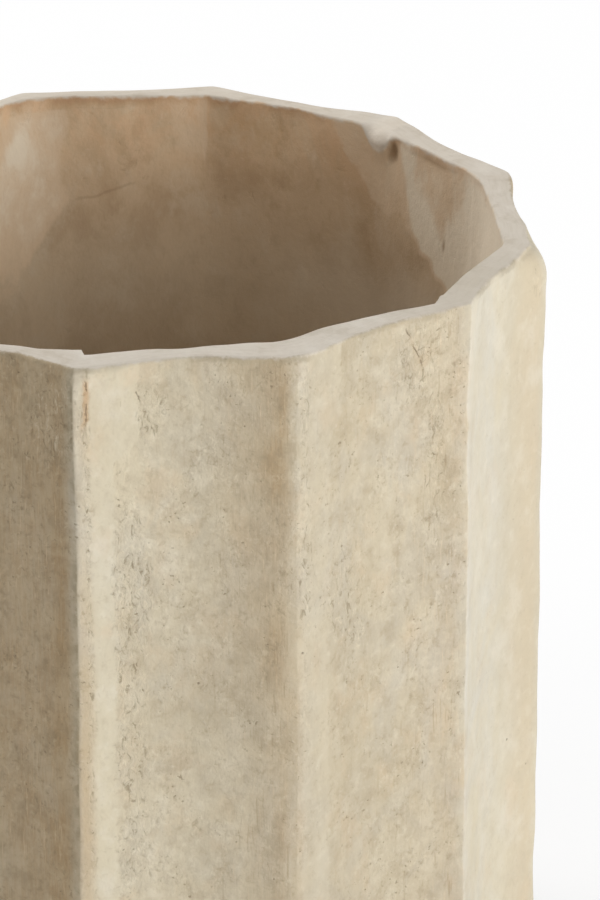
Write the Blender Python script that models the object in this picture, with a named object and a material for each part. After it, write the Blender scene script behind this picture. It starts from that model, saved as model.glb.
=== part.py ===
"""A hand-made flower pot in fired clay, with twelve hollow flutes round its wall.

The wall is pressed in a fluted mould, the floor slab is luted inside its foot, and a coil of clay is
smoothed into the corner between them. A rubber plug lifts out of the drain hole, and four rubber pads
keep the clay off the table. Metres, +Z up, the origin on the table under the middle of the pot.
"""

import math

import bmesh
import bpy
import numpy as np

# Wall: one clay tube whose outside is a ring of hollow flutes between raised ridges.
CLAY_HEIGHT = 0.280
RIDGE_RADIUS = 0.130
FLUTE_DROP = 0.0084
WALL_AT_RIDGE = 0.0140
WALL_AT_FLUTE = 0.0088
RIM_FLARE = 0.0010
RIM_FLARE_HEIGHT = 0.040
RIM_OUTER_ROUND = 0.0022
RIM_INNER_ROUND = 0.0018
FOOT_ROUND = 0.0030

# Ridges are laid out by hand: each is a little off its even place, in degrees, and off the ridge radius.
FIRST_RIDGE_DEG = -10.4
RIDGE_TURNS_DEG = (0.9, -0.4, 1.8, -1.2, -2.1, -1.7, 0.5, 0.1, 0.6, -0.8, 0.4, -0.5)
RIDGE_SWELLS = (0.001, 0.0, -0.0015, 0.001, -0.0015, -0.0005, 0.001, 0.001, 0.0, -0.001, 0.0, 0.0005)

# Softness of a ridge's crest, as a share of half a flute's width: crisp outside, wiped round inside.
OUTER_CREST_SOFTNESS = 0.05
INNER_CREST_SOFTNESS = 0.30

# Floor slab with its drain hole, and the coil that seals it to the wall.
FLOOR_THICKNESS = 0.012
LUTING_GAP = 0.0003
COIL_LEG = 0.009
COIL_EDGE = 0.0008
DRAIN_HOLE_RADIUS = 0.0115
DRAIN_HOLE_CHAMFER = 0.0012

# Rubber drain plug: a tapered stem in the hole, a flange on the floor and a turned knob to pull.
PLUG_CLEARANCE = 0.0004
PLUG_SEAT_GAP = 0.0003
PLUG_TAPER = 0.0012
PLUG_TIP_RECESS = 0.0010
PLUG_FLANGE_LAP = 0.0065
PLUG_FLANGE_THICKNESS = 0.0030
PLUG_NECK_RADIUS = 0.0050
PLUG_NECK_LENGTH = 0.0060
PLUG_KNOB_RADIUS = 0.0090
PLUG_KNOB_THICKNESS = 0.0056

# Rubber pads glued under the floor.
PAD_COUNT = 4
PAD_FIRST_DEG = 45.0
PAD_RADIUS = 0.0100
PAD_THICKNESS = 0.0030
PAD_EDGE_ROUND = 0.0008
PAD_FROM_FLOOR_EDGE = 0.0080
GLUE_GAP = 0.0003

# Fineness of the facets.
STEPS_PER_HALF_FLUTE = 5
STEPS_TOWARDS_CREST = 1.5
ROUND_STEPS = 3
COIL_STEPS = 4
TURNED_STEPS = 32
SMOOTH_UNDER_DEG = 25.0

CLAY_FOOT_Z = PAD_THICKNESS + GLUE_GAP
FLOOR_TOP_Z = CLAY_FOOT_Z + FLOOR_THICKNESS
INNER_DROP = FLUTE_DROP + WALL_AT_FLUTE - WALL_AT_RIDGE
RIDGE_COUNT = len(RIDGE_TURNS_DEG)


def clear_scene():
    for obj in list(bpy.data.objects):
        bpy.data.objects.remove(obj, do_unlink=True)


def finish(name, color, roughness):
    """A Principled material of one colour, given as linear red, green and blue."""
    material = bpy.data.materials.new(name)
    material.use_nodes = True
    shader = material.node_tree.nodes["Principled BSDF"]
    shader.inputs["Base Color"].default_value = (*color, 1.0)
    shader.inputs["Roughness"].default_value = roughness
    shader.inputs["Metallic"].default_value = 0.0
    return material


def place(mesh, name, material, parent, location):
    mesh.materials.append(material)
    mesh.shade_smooth()
    mesh.set_sharp_from_angle(angle=math.radians(SMOOTH_UNDER_DEG))
    obj = bpy.data.objects.new(name, mesh)
    bpy.context.scene.collection.objects.link(obj)
    obj.parent = parent
    obj.location = location
    return obj


def loft(name, rings):
    """A closed mesh through rings of equal point counts, the last ring joined back to the first."""
    bm = bmesh.new()
    loops = [[bm.verts.new(point) for point in ring] for ring in rings]
    for ring, following in zip(loops, loops[1:] + loops[:1]):
        for k in range(len(ring)):
            bm.faces.new((ring[k - 1], ring[k], following[k], following[k - 1]))
    bmesh.ops.recalc_face_normals(bm, faces=bm.faces)
    mesh = bpy.data.meshes.new(name)
    bm.to_mesh(mesh)
    bm.free()
    return mesh


def turn(name, profile):
    """A closed mesh turned about Z from (radius, height) points that start and end on the axis."""
    bm = bmesh.new()
    points = [bm.verts.new((radius, 0.0, height)) for radius, height in profile]
    edges = [bm.edges.new(pair) for pair in zip(points, points[1:])]
    bmesh.ops.spin(
        bm,
        geom=points + edges,
        axis=(0.0, 0.0, 1.0),
        cent=(0.0, 0.0, 0.0),
        angle=math.tau,
        steps=TURNED_STEPS,
        use_merge=True,
    )
    bmesh.ops.remove_doubles(bm, verts=bm.verts, dist=0.00001)
    bmesh.ops.recalc_face_normals(bm, faces=bm.faces)
    mesh = bpy.data.meshes.new(name)
    bm.to_mesh(mesh)
    bm.free()
    return mesh


def quarter_round(centre, radius, start_deg, steps=ROUND_STEPS):
    """Points of a quarter circle, clockwise from start_deg, as (across, up) pairs."""
    angles = [math.radians(start_deg - 90.0 * k / steps) for k in range(steps + 1)]
    return [(centre[0] + radius * math.cos(a), centre[1] + radius * math.sin(a)) for a in angles]


def flute_stations():
    """For every point round the wall: its angle from the front, the radius of the ridge line there, and
    how far it lies from the nearest crest, from 0 on the crest to 1 in the middle of the flute."""
    even = math.tau / RIDGE_COUNT
    crests = [
        math.radians(FIRST_RIDGE_DEG + turn_deg) + k * even
        for k, turn_deg in enumerate(RIDGE_TURNS_DEG)
    ]
    crests.append(crests[0] + math.tau)
    radii = [RIDGE_RADIUS + swell for swell in RIDGE_SWELLS]
    radii.append(radii[0])
    half = (np.arange(STEPS_PER_HALF_FLUTE) / STEPS_PER_HALF_FLUTE) ** STEPS_TOWARDS_CREST
    off_crest = np.concatenate([half, [1.0], half[:0:-1]])
    across = np.concatenate([half, [1.0], 2.0 - half[:0:-1]]) / 2.0
    angle = np.concatenate([a + across * (b - a) for a, b in zip(crests, crests[1:])])
    ridge = np.concatenate([a + across * (b - a) for a, b in zip(radii, radii[1:])])
    return angle, ridge, np.tile(off_crest, RIDGE_COUNT)


def hollow(off_crest, softness):
    """Depth of a hollow as a share of its drop: a parabola across the flute, rounded at the crests."""
    rounded = np.hypot(off_crest, softness) - softness
    rounded = rounded / (math.hypot(1.0, softness) - softness)
    return rounded * (2.0 - rounded)


ANGLE, RIDGE_LINE, OFF_CREST = flute_stations()
OUTER = RIDGE_LINE - FLUTE_DROP * hollow(OFF_CREST, OUTER_CREST_SOFTNESS)
INNER = RIDGE_LINE - WALL_AT_RIDGE - INNER_DROP * hollow(OFF_CREST, INNER_CREST_SOFTNESS)
FLOOR_EDGE = INNER - LUTING_GAP


def plan(radius):
    """X and Y of a ring with the given radius at each station."""
    return np.column_stack([radius * np.sin(ANGLE), -radius * np.cos(ANGLE)])


# The uneven wall is set down with the middle of its rim's outline on the pot's axis.
RIM_OUTLINE = plan(OUTER + RIM_FLARE)
WALL_CENTRE = (RIM_OUTLINE.min(axis=0) + RIM_OUTLINE.max(axis=0)) / 2.0


def wall_ring(radius, height):
    points = plan(radius) - WALL_CENTRE
    return np.column_stack([points, np.full(len(points), height)])


def hole_ring(radius, height):
    points = plan(np.full(len(ANGLE), radius))
    return np.column_stack([points, np.full(len(points), height)])


def fluted_wall():
    """The wall's section carried round: up the outside, over the cut rim, down the inside."""
    flare_start = CLAY_HEIGHT - RIM_FLARE_HEIGHT
    rings = []
    for across, height in quarter_round((FOOT_ROUND, FOOT_ROUND), FOOT_ROUND, 270.0):
        rings.append(wall_ring(OUTER - across, height))
    for share in (0.0, 0.5):
        rings.append(wall_ring(OUTER + RIM_FLARE * share**2, flare_start + RIM_FLARE_HEIGHT * share))
    corner = (RIM_OUTER_ROUND, CLAY_HEIGHT - RIM_OUTER_ROUND)
    for across, height in quarter_round(corner, RIM_OUTER_ROUND, 180.0):
        rings.append(wall_ring(OUTER + RIM_FLARE - across, height))
    corner = (-RIM_INNER_ROUND, CLAY_HEIGHT - RIM_INNER_ROUND)
    for across, height in quarter_round(corner, RIM_INNER_ROUND, 90.0):
        rings.append(wall_ring(INNER - across, height))
    rings.append(wall_ring(INNER, 0.0))
    return loft("fluted_wall", rings)


def floor_slab():
    """A slab cut to the inside of the wall, with a chamfered drain hole in the middle."""
    chamfered = DRAIN_HOLE_RADIUS + DRAIN_HOLE_CHAMFER
    rings = [
        wall_ring(FLOOR_EDGE, 0.0),
        wall_ring(FLOOR_EDGE, FLOOR_THICKNESS),
        hole_ring(chamfered, FLOOR_THICKNESS),
        hole_ring(DRAIN_HOLE_RADIUS, FLOOR_THICKNESS - DRAIN_HOLE_CHAMFER),
        hole_ring(DRAIN_HOLE_RADIUS, DRAIN_HOLE_CHAMFER),
        hole_ring(chamfered, 0.0),
    ]
    return loft("floor_slab", rings)


def seam_coil():
    """A coil pressed into the corner of wall and floor and wiped to a hollow fillet."""
    hollow_radius = COIL_LEG - COIL_EDGE
    centre = (COIL_LEG, COIL_LEG)
    rings = [wall_ring(FLOOR_EDGE, 0.0), wall_ring(FLOOR_EDGE - COIL_LEG, 0.0)]
    for across, height in quarter_round(centre, hollow_radius, 270.0, COIL_STEPS):
        rings.append(wall_ring(FLOOR_EDGE - across, height))
    rings.append(wall_ring(FLOOR_EDGE, COIL_LEG))
    return loft("seam_coil", rings)


def drain_plug():
    """The stopper's half section, from the tip of the stem up to the top of the knob, turned about Z."""
    stem = DRAIN_HOLE_RADIUS - PLUG_CLEARANCE
    flange = DRAIN_HOLE_RADIUS + DRAIN_HOLE_CHAMFER + PLUG_FLANGE_LAP
    flange_edge = PLUG_FLANGE_THICKNESS / 3.0
    stem_tip = PLUG_TIP_RECESS - FLOOR_THICKNESS - PLUG_SEAT_GAP
    neck_top = PLUG_FLANGE_THICKNESS + PLUG_NECK_LENGTH
    knob_edge = PLUG_KNOB_THICKNESS / 3.0
    profile = [
        (0.0, stem_tip),
        (stem - PLUG_TAPER - flange_edge, stem_tip),
        (stem - PLUG_TAPER, stem_tip + flange_edge),
        (stem, 0.0),
        (flange - flange_edge, 0.0),
        (flange, flange_edge),
        (flange, PLUG_FLANGE_THICKNESS - flange_edge),
        (flange - flange_edge, PLUG_FLANGE_THICKNESS),
        (PLUG_NECK_RADIUS + flange_edge, PLUG_FLANGE_THICKNESS),
        (PLUG_NECK_RADIUS, PLUG_FLANGE_THICKNESS + flange_edge),
        (PLUG_NECK_RADIUS, neck_top),
        (PLUG_KNOB_RADIUS, neck_top + knob_edge),
        (PLUG_KNOB_RADIUS, neck_top + 2.0 * knob_edge),
        (PLUG_KNOB_RADIUS - knob_edge, neck_top + PLUG_KNOB_THICKNESS),
        (0.0, neck_top + PLUG_KNOB_THICKNESS),
    ]
    return turn("drain_plug", profile)


def foot_pad(name):
    """A round pad with softened edges, from its underside up."""
    profile = [
        (0.0, 0.0),
        (PAD_RADIUS - PAD_EDGE_ROUND, 0.0),
        (PAD_RADIUS, PAD_EDGE_ROUND),
        (PAD_RADIUS, PAD_THICKNESS - PAD_EDGE_ROUND),
        (PAD_RADIUS - PAD_EDGE_ROUND, PAD_THICKNESS),
        (0.0, PAD_THICKNESS),
    ]
    return turn(name, profile)


def build():
    clear_scene()
    pot = bpy.data.objects.new("flower_pot", None)
    bpy.context.scene.collection.objects.link(pot)

    clay_outside = finish("sandy_clay", (0.56, 0.49, 0.37), 0.90)
    clay_floor = finish("floor_clay", (0.40, 0.32, 0.23), 0.92)
    clay_coil = finish("coil_clay", (0.42, 0.34, 0.24), 0.92)
    plug_rubber = finish("plug_rubber", (0.035, 0.033, 0.031), 0.60)

    foot = (0.0, 0.0, CLAY_FOOT_Z)
    place(fluted_wall(), "fluted_wall", clay_outside, pot, foot)
    place(floor_slab(), "floor_slab", clay_floor, pot, foot)
    place(seam_coil(), "seam_coil", clay_coil, pot, (0.0, 0.0, FLOOR_TOP_Z + LUTING_GAP))
    place(drain_plug(), "drain_plug", plug_rubber, pot, (0.0, 0.0, FLOOR_TOP_Z + PLUG_SEAT_GAP))

    pad_circle = FLOOR_EDGE.min() - PAD_FROM_FLOOR_EDGE - PAD_RADIUS
    for k in range(PAD_COUNT):
        name = f"foot_pad_{k + 1}"
        angle = math.radians(PAD_FIRST_DEG) + math.tau * k / PAD_COUNT
        pad_rubber = finish(f"pad_rubber_{k + 1}", (0.060, 0.052, 0.045), 0.70)
        spot = (pad_circle * math.cos(angle), pad_circle * math.sin(angle), 0.0)
        place(foot_pad(name), name, pad_rubber, pot, spot)


build()
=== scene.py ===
"""Looks of a hand-pressed clay flower pot with twelve hollow flutes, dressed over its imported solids."""

import math

import bpy
import numpy as np
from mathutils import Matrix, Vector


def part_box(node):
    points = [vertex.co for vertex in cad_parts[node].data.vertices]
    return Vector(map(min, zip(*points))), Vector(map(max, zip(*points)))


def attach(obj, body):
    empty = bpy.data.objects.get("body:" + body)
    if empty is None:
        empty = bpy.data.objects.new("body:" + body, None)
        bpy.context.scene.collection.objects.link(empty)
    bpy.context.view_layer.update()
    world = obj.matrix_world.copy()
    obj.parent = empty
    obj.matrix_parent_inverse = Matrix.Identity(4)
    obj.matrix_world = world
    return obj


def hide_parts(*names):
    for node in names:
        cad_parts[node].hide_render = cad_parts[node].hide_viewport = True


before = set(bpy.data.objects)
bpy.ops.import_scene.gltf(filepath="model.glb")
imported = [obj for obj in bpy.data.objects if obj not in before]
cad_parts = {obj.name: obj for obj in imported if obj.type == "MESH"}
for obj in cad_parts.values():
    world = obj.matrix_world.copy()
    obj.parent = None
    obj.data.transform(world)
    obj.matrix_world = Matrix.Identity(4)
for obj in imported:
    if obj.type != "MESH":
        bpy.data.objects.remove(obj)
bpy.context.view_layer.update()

# The wall is one tube of sandy clay, pressed by hand into a fluted mould and cut with a wire at the rim.
# Its crests were wiped with a wet finger, which left smooth cream bands beside them, and no two ridges,
# rim heights or wall thicknesses are quite alike.
MM = 0.001
wall_low, wall_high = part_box("fluted_wall")
foot_z, rim_z = wall_low.z, wall_high.z
wall_centre = np.array([0.89, -0.08]) * MM

# Ridge by ridge: how far it stands off its even place, swells out and is softened, the depth of the flute on
# its right, and how far its top corner is worn back, down and to each side.
ridge_radius = 130.0 * MM
first_ridge = math.radians(-10.4)
ridge_turn = np.radians([-0.1, 0.9, 2.3, -1.2, -2.1, -1.7, 0.5, 0.1, 0.6, -0.8, 0.4, -0.5])
ridge_swell = np.array([1.0, 0.0, -1.5, 1.6, -2.3, -0.5, 1.0, 1.0, 0.0, -1.0, 0.0, 0.5]) * MM
crest_softness = np.array([0.02, 0.18, 0.03, 0.07, 0.05, 0.04, 0.05, 0.06, 0.05, 0.04, 0.06, 0.05])
flute_drop = np.array([8.8, 8.2, 7.6, 8.8, 8.2, 8.4, 8.0, 8.4, 8.6, 8.2, 8.4, 8.6]) * MM
shoulder_back = np.array([1.6, 2.0, 1.0, 7.0, 1.8, 2.5, 1.2, 1.5, 2.0, 1.5, 2.2, 1.5]) * MM
shoulder_down = np.array([4.0, 4.5, 3.0, 11.0, 5.0, 6.0, 3.0, 4.0, 5.0, 4.0, 5.0, 4.0]) * MM
shoulder_width = np.array([7.0, 9.0, 8.0, 13.0, 9.0, 9.0, 8.0, 9.0, 9.0, 8.0, 9.0, 9.0]) * MM
flare, flare_height = 1.0 * MM, 40.0 * MM
wear_start = 0.8
foot_round = 3.0 * MM

# Rim heights over the mean and wall thicknesses at the rim, on each ridge and in each flute in turn.
rim_rise = np.array([
    0.0, 1.3, 1.0, 1.1, 1.3, 0.5, 0.0, 0.2, 1.1, 0.6, 0.6, 0.6,
    0.5, 1.4, 0.7, 0.5, 0.0, 0.4, -0.3, 0.3, 0.1, 0.5, 0.0, 1.0,
]) * MM
rim_wall = np.array([
    14.5, 8.6, 15.5, 9.8, 7.0, 8.0, 14.8, 7.4, 14.0, 8.4, 14.5, 6.0,
    11.0, 6.0, 8.0, 7.5, 12.0, 8.5, 13.0, 8.5, 13.0, 8.5, 13.0, 5.0,
]) * MM
deep_wall_ridge, deep_wall_drop, deep_softness = 14.4 * MM, 2.2 * MM, 0.6
rim_softness = np.array([0.2, 0.3, 0.05, 0.3, 0.6, 0.3, 0.15, 0.5, 0.4, 0.4, 0.4, 0.4])
rim_reach = 28.0 * MM

# Layers of noise, each a height, the size of its lumps in millimetres and a seed: how far the ridges wander
# sideways, in radians, and the dents of the hand outside, along the crests and inside, in millimetres.
ridge_wander = [(0.0035, 90.0, 11), (0.0032, 21.0, 12), (0.0013, 8.0, 13)]
outer_dents = [(0.5, 60.0, 1), (0.22, 19.0, 2), (0.10, 7.0, 3)]
crest_dents, crest_dent_width = [(0.40, 10.0, 4)], 4.0 * MM
inner_dents = [(0.6, 34.0, 5), (0.2, 11.0, 6)]


def clay_noise(points, size, seed):
    """Soft noise between -1 and 1: random values on a cubic lattice of the given cell size, blended
    across each cell by the smooth step 3f^2 - 2f^3."""
    table = np.random.default_rng(seed).uniform(-1.0, 1.0, 4096)
    cell = np.floor(points / size).astype(np.int64)
    share = points / size - cell
    share = share * share * (3.0 - 2.0 * share)
    total = np.zeros(points.shape[:-1])
    for corner in np.ndindex(2, 2, 2):
        x, y, z = np.moveaxis(cell + np.array(corner), -1, 0)
        key = (x * 73856093) ^ (y * 19349663) ^ (z * 83492791)
        weight = np.prod(np.where(np.array(corner) == 1, share, 1.0 - share), axis=-1)
        total += weight * table[key % len(table)]
    return total


def layered(points, layers):
    """Sum of noise layers, each its height times noise of its lump size and seed."""
    return sum(height * clay_noise(points, size * MM, seed) for height, size, seed in layers)


def bell(value, middle, half_width, power=2):
    """A bell curve, 1 at the middle and 1/e at a half width from it, squarer for a higher even power."""
    return np.exp(-(((value - middle) / half_width) ** power))


def around(values, place):
    """Values at even steps round the pot, joined by a closed Catmull-Rom curve and read at each place."""
    index = np.floor(place).astype(int)
    f = place - index
    a, b, c, d = (values[(index + k) % len(values)] for k in (-1, 0, 1, 2))
    return b + 0.5 * f * (c - a + f * (2.0 * a - 5.0 * b + 4.0 * c - d + f * (3.0 * (b - c) + d - a)))


def hollow(off_crest, softness):
    """Depth of a hollow as a share of its drop: a parabola across the flute, rounded at the crests."""
    rounded = np.hypot(off_crest, softness) - softness
    rounded = rounded / (np.hypot(1.0, softness) - softness)
    return rounded * (2.0 - rounded)


def new_object(name, data):
    """A new object at the origin that holds the data, linked into the scene."""
    made = bpy.data.objects.new(name, data)
    bpy.context.scene.collection.objects.link(made)
    return made


def skin(name, points, attributes):
    """A closed mesh on a grid of points whose rows and columns both join round, with float attributes."""
    rows, columns = points.shape[:2]
    index = np.arange(rows * columns).reshape(rows, columns)
    above, beside = np.roll(index, -1, axis=0), np.roll(index, -1, axis=1)
    corner = np.roll(above, -1, axis=1)
    faces = np.stack([index, beside, corner, above], axis=-1).reshape(-1, 4)
    mesh = bpy.data.meshes.new(name)
    mesh.from_pydata(points.reshape(-1, 3), [], faces)
    for label, values in attributes.items():
        layer = mesh.attributes.new(label, "FLOAT", "POINT")
        layer.data.foreach_set("value", np.broadcast_to(values, (rows, columns)).astype(np.float32).ravel())
    mesh.shade_smooth()
    return new_object(name, mesh)


# Stations round the wall, crowded towards the crests.
ridge_count = len(ridge_turn)
columns_per_flute, crest_crowding = 60, 0.6
step = np.arange(columns_per_flute) / columns_per_flute
step = step - crest_crowding * np.sin(math.tau * step) / math.tau
share = np.tile(step, ridge_count)
flute = np.repeat(np.arange(ridge_count), columns_per_flute)
following = (flute + 1) % ridge_count
crest_angle = first_ridge + ridge_turn + np.arange(ridge_count) * math.tau / ridge_count
crest_gap = np.diff(crest_angle, append=crest_angle[0] + math.tau)
angle = crest_angle[flute] + share * crest_gap[flute]
crest_radius = ridge_radius + ridge_swell
ridge_line = crest_radius[flute] + share * (crest_radius[following] - crest_radius[flute])
nearest = np.where(share < 0.5, flute, following)
off_crest = 1.0 - np.abs(2.0 * share - 1.0)
from_crest = off_crest / 2.0 * crest_gap[flute] * ridge_radius
half_place = 2.0 * (flute + share)


def on_wall(radius, height):
    """Points at a radius and height for each station, with the wall set over the pot's axis."""
    at_angle = angle + layered(flat_point(height), ridge_wander)
    x = radius * np.sin(at_angle) - wall_centre[0]
    y = -radius * np.cos(at_angle) - wall_centre[1]
    return np.stack([x, y, height], axis=-1)


def flat_point(height):
    """Points of the plain cylinder behind the flutes, where the noise is read."""
    x = ridge_radius * np.sin(angle) + np.zeros_like(height)
    y = -ridge_radius * np.cos(angle) + np.zeros_like(height)
    return np.stack([x, y, height], axis=-1)


def outer_radius(height):
    """Ridge line less the hollow of the flute, plus the rim's flare, less the worn top corner of a ridge
    as a quarter ellipse, plus dents of the hand."""
    below = np.maximum(rim_height - wear_start * outer_edge - height, 0.0)
    radius = ridge_line - flute_drop[flute] * hollow(off_crest, crest_softness[nearest])
    radius = radius + flare * np.clip(1.0 - below / flare_height, 0.0, 1.0) ** 2
    wear = 1.0 - np.clip(below / shoulder_down[nearest], 0.0, 1.0)
    wear = 1.0 - np.sqrt(1.0 - wear**2)
    radius = radius - shoulder_back[nearest] * wear * bell(from_crest, 0.0, shoulder_width[nearest])
    at = flat_point(height)
    dents = layered(at, outer_dents) + layered(at, crest_dents) * bell(from_crest, 0.0, crest_dent_width)
    return radius + dents * MM


def inner_radius(height):
    """Nominal inside, drawn to the measured thickness near the rim, with the lump and the torn pocket
    that the joined slab left under the rim at the back, and the step where its two ends overlap."""
    below = np.maximum(rim_height - height, 0.0)
    nominal = ridge_line - deep_wall_ridge - deep_wall_drop * hollow(off_crest, deep_softness)
    outside = ridge_line - flute_drop[flute] * hollow(off_crest, rim_softness[nearest]) + flare
    near_rim = outside - around(rim_wall, half_place)
    radius = nominal + (near_rim - nominal) * np.exp(-below / rim_reach)
    radius = radius - overlap_in * bell(below, 0.0, lap_reach)
    along = (angle - lump_angle) * ridge_radius
    lump = bell(along, 0.0, lump_width) * bell(below, 0.0, lump_height)
    pocket = bell(along, pocket_shift, pocket_width) * bell(below, pocket_below, pocket_height)
    dents = layered(flat_point(height), inner_dents)
    return radius - lump_in * lump + pocket_out * pocket + dents * MM


lump_angle = math.radians(135.8)
lump_width, lump_height, lump_in = 6.5 * MM, 9.0 * MM, 3.5 * MM
pocket_shift, pocket_below = -6.6 * MM, 7.5 * MM
pocket_width, pocket_height, pocket_out = 3.6 * MM, 4.5 * MM, 1.8 * MM

# Ends of clay lapped over at the inner edge: degrees of the step and of where it has faded out, height, and
# how much of its run the step takes.
degrees = (np.degrees(angle) + 180.0) % 360.0 - 180.0
overlap_in, lap_reach = np.zeros(len(angle)), 16.0 * MM
for step_at, faded_at, lap, blur in [(-10.9, -17.5, 4.1, 0.12), (51.6, 72.0, 5.0, 0.14)]:
    run = (degrees - faded_at) / (step_at - faded_at)
    overlap_in += lap * MM * np.clip(run, 0.0, 1.0) * np.clip((1.0 + blur - run) / blur, 0.0, 1.0)

# The rim's line with its fine ripple, and the rounding of its two edges, which is larger outside on the front
# ridge and inside on the lump.
rim_ripple = 0.18 * MM
outer_round, outer_round_varies, ridge_round = 1.1 * MM, 0.5 * MM, 1.2 * MM
inner_round, inner_round_varies, lump_round = 1.0 * MM, 0.4 * MM, 4.2 * MM
level = np.zeros(len(angle))
rim_height = rim_z + around(rim_rise, half_place)
rim_height = rim_height + rim_ripple * clay_noise(flat_point(level), 9.0 * MM, 7)
outer_edge = outer_round + outer_round_varies * clay_noise(flat_point(level), 16.0 * MM, 8)
outer_edge = outer_edge + ridge_round * bell(degrees, -12.0, 9.0)
inner_edge = inner_round + inner_round_varies * clay_noise(flat_point(level), 12.0 * MM, 9)
inner_edge = inner_edge + lump_round * bell(degrees, 136.6, 3.3, 4)

# Section of the wall, row by row: up the outside, round the rim and down the inside.
outside_rows, edge_rows, top_rows, inside_rows, foot_rows = 70, 7, 10, 40, 5
outside_crowding, inside_crowding = 1.5, 1.6
climb = 1.0 - (1.0 - np.linspace(0.0, 1.0, outside_rows)[:, None]) ** outside_crowding
quarter = np.linspace(0.0, math.pi / 2.0, edge_rows)[:, None]
height = foot_z + foot_round + climb * (rim_height - outer_edge - foot_z - foot_round)
radius = outer_radius(height)
outside = on_wall(radius, height)
outside_over = height - (rim_height - outer_edge)

foot_turn = np.linspace(0.0, math.pi / 2.0, foot_rows)[:-1, None]
foot_height = foot_z + foot_round * (1.0 - np.sin(foot_turn)) + 0.0 * level
foot = on_wall(radius[0] - foot_round * (1.0 - np.cos(foot_turn)), foot_height)[::-1]

top_radius, bore_radius = radius[-1], inner_radius((rim_height - inner_edge)[None])[0]
edge_radius = top_radius - outer_edge * (1.0 - np.cos(quarter[1:]))
edge_height = rim_height - outer_edge * (1.0 - np.sin(quarter[1:]))
edge = on_wall(edge_radius, edge_height)
edge_over = outer_edge * quarter[1:]

over_top = np.linspace(0.0, 1.0, top_rows + 2)[1:-1, None]
crown, top_ripple = 0.25 * MM, 0.10 * MM
flat_width = (top_radius - outer_edge) - (bore_radius + inner_edge)
top_at = (top_radius - outer_edge) - over_top * flat_width
top_height = rim_height + crown * 4.0 * over_top * (1.0 - over_top)
top_height = top_height + top_ripple * clay_noise(on_wall(top_at, top_height), 5.0 * MM, 10)
top = on_wall(top_at, top_height)
top_over = outer_edge * math.pi / 2.0 + over_top * flat_width

lip_radius = bore_radius + inner_edge * (1.0 - np.sin(quarter))
lip_height = rim_height - inner_edge * (1.0 - np.cos(quarter))
lip = on_wall(lip_radius, lip_height)
lip_over = outer_edge * math.pi / 2.0 + flat_width + inner_edge * quarter

fall = np.linspace(0.0, 1.0, inside_rows + 1)[1:, None] ** inside_crowding
inside_height = (rim_height - inner_edge) * (1.0 - fall) + foot_z * fall
inside = on_wall(inner_radius(inside_height), inside_height)
inside_past = (rim_height - inner_edge) - inside_height

rim_length = outer_edge * math.pi / 2.0 + flat_width + inner_edge * math.pi / 2.0
foot_over = foot_z - rim_height + 0.0 * foot[..., 0]
over_rim = np.vstack([foot_over, outside_over, edge_over, top_over, lip_over, rim_length + inside_past])
past_rim = over_rim - rim_length
below_rim = np.maximum(-over_rim, 0.0)
inside_depth = np.maximum(past_rim, 0.0)
right_of_crest = share * crest_gap[flute] * ridge_radius
left_of_crest = (1.0 - share) * crest_gap[flute] * ridge_radius


def ease(value, start, end):
    """A smooth step from 0 at the start to 1 at the end."""
    f = np.clip((value - start) / (end - start), 0.0, 1.0)
    return f * f * (3.0 - 2.0 * f)


# How each flute was handled: where the finger wiped it, in millimetres from its left crest, with the wider
# swipe under the rim; where its brown wash, partly painted shade on the side turned from the light, starts
# and how far it fades in, as shares of the flute; and how strongly cream, wash, streaks, painted corner
# shade, painted crest highlight, grit, chalk, pale clay and dull clay show in it.
wiped_from = np.array([4.4, 1.5, 0.0, 1.0, 2.0, 0.5, 2.0, 1.0, 3.0, 1.5, 0.5, 2.5]) * MM
wiped_to = np.array([11.4, 13.0, 70.0, 14.0, 10.0, 8.0, 12.0, 9.0, 22.0, 9.0, 13.0, 9.0]) * MM
wiped_top = np.array([8.6, 5.0, 0.0, 6.0, 0.0, 8.0, 0.0, 5.0, 0.0, 7.0, 0.0, 6.0]) * MM
swipe_start, swipe_end = 32.0 * MM, 24.0 * MM
wiped_cream = np.array([1.0, 0.35, 0.9, 0.7, 0.8, 0.5, 0.9, 0.6, 0.8, 0.7, 0.6, 0.5])
brown_from = np.array([0.48, 0.50, 0.60, 0.60, 0.55, 0.65, 0.50, 0.60, 0.70, 0.55, 0.60, 0.10])
brown_width = np.array([0.49, 0.45, 0.30, 0.40, 0.35, 0.30, 0.45, 0.40, 0.30, 0.40, 0.35, 0.30])
brown_wash_and_shade = np.array([0.88, 0.25, 0.50, 0.60, 0.80, 0.50, 0.90, 0.60, 0.30, 0.80, 0.60, 1.02])
streaked = np.array([0.60, 0.20, 0.0, 0.40, 0.50, 0.0, 0.40, 0.20, 0.0, 0.50, 0.20, 0.26])
corner_shade = np.array([0.25, 0.15, 0.30, 0.30, 0.60, 0.40, 0.20, 0.50, 0.30, 0.60, 0.40, 0.85])
highlight_strength = np.array([0.30, 0.12, 0.38, 0.50, 0.40, 0.60, 0.30, 0.50, 0.30, 0.40, 0.50, 0.30])
highlight_width = np.array([2.2, 2.2, 7.0, 2.2, 2.6, 2.2, 2.2, 2.4, 2.2, 2.6, 2.2, 2.2]) * MM
gritty = np.array([1.0, 0.80, 0.70, 0.90, 1.0, 0.80, 1.10, 0.90, 0.80, 1.0, 0.90, 1.02])
chalky = np.array([0.15, 0.40, 0.80, 0.50, 0.30, 0.60, 0.40, 0.50, 0.30, 0.60, 0.40, 0.50])
paler = np.array([0.16, 0.0, 0.0, 0.10, 0.0, 0.15, 0.0, 0.10, 0.20, 0.0, 0.12, 0.0])
duller = np.array([0.0, 0.34, 0.05, 0.0, 0.15, 0.0, 0.12, 0.0, 0.0, 0.18, 0.0, 0.10])

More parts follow.
